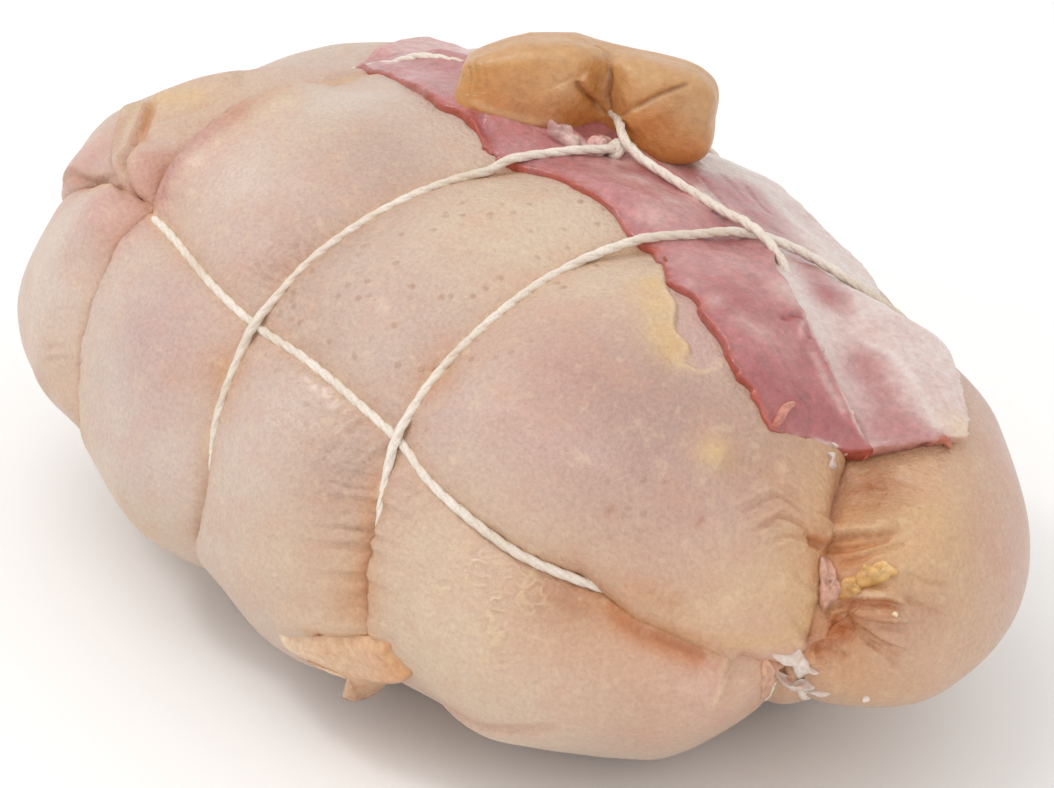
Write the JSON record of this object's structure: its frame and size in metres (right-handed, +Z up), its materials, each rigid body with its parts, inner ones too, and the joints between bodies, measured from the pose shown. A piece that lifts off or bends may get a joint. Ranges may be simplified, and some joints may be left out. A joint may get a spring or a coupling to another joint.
{
  "type": "raw stuffed chicken roll",
  "caption": "Raw boned and stuffed chicken rolled to a plump oval, dressed with bacon slices and a folded piece of rind and tied with twine.",
  "frame": {"origin": "on the surface it rests on, below the middle of the whole outline", "axes": "+X along the roll to its gathered end, +Y to the side over which the streaky bacon hangs, +Z up"},
  "size_m": [0.2433, 0.1559, 0.1117],
  "materials": {
    "chicken_skin": "moist raw poultry skin, soft sheen",
    "bacon_meat": "moist cured lean meat",
    "bacon_fat": "moist streaky fat and lean",
    "smoked_rind": "dry tan rind, satin",
    "cotton_twine": "plied undyed cotton, matt"
  },
  "bodies": {
    "root": {"chicken_body": "chicken_skin", "bacon_lean": "bacon_meat", "bacon_streaky": "bacon_fat", "bacon_back": "bacon_meat", "folded_rind": "smoked_rind", "twine": "cotton_twine"}
  },
  "joints": []
}
